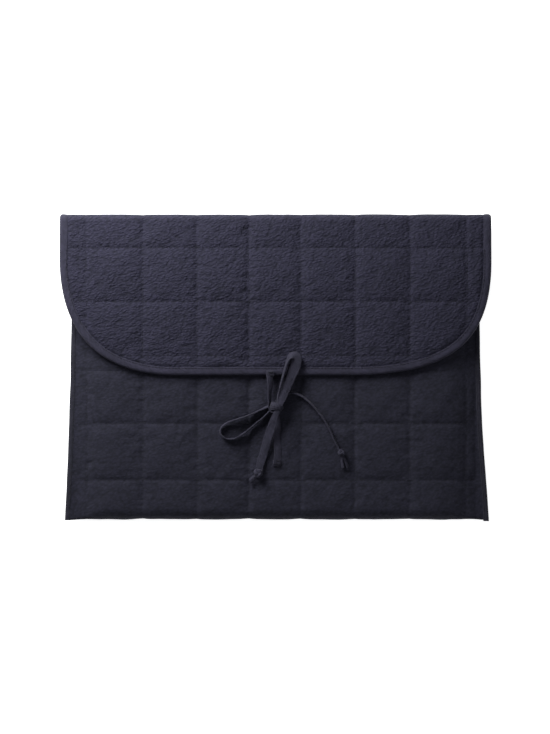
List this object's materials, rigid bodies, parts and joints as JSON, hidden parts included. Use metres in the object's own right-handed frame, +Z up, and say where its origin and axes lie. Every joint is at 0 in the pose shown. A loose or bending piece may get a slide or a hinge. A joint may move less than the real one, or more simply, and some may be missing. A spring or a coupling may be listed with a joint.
{
  "type": "laptop sleeve",
  "caption": "Quilted fabric laptop sleeve with bound edges and a rounded flap closed by a tied bow, lying on its back.",
  "frame": {"origin": "middle of the sleeve's outline, on the surface its back lies on", "axes": "+X across the width, +Y from the bottom fold to the top fold, +Z up out of the front"},
  "size_m": [0.352, 0.25, 0.0303],
  "materials": {
    "crinkle_cotton": "matte",
    "wadding": "matte",
    "lining_cotton": "matte",
    "binding_tape": "matte",
    "tie_tape": "matte"
  },
  "bodies": {
    "pouch": {"pouch_outer": "crinkle_cotton", "pouch_wadding": "wadding", "pouch_lining": "lining_cotton", "side_binding_left": "binding_tape", "side_binding_right": "binding_tape", "mouth_binding": "binding_tape", "pouch_tie_tab": "tie_tape", "pouch_tie": "tie_tape", "pouch_tie_end_knot": "tie_tape"},
    "spine": {"spine_outer": "crinkle_cotton", "spine_wadding": "wadding", "spine_lining": "lining_cotton", "spine_binding_left": "binding_tape", "spine_binding_right": "binding_tape"},
    "flap": {"flap_outer": "crinkle_cotton", "flap_wadding": "wadding", "flap_lining": "lining_cotton", "flap_binding": "binding_tape", "flap_tie_tab": "tie_tape", "flap_tie": "tie_tape", "flap_tie_end_knot": "tie_tape", "bow_knot": "tie_tape"}
  },
  "joints": [
    {"name": "spine_fold", "type": "hinge", "parent": "pouch", "child": "spine", "pos_m": [0, 0.1211, 0.0047], "axis": [-1, 0, 0], "range_deg": [0, 90]},
    {"name": "flap_fold", "type": "hinge", "parent": "spine", "child": "flap", "pos_m": [0, 0.1211, 0.0206], "axis": [-1, 0, 0], "range_deg": [0, 85]}
  ]
}
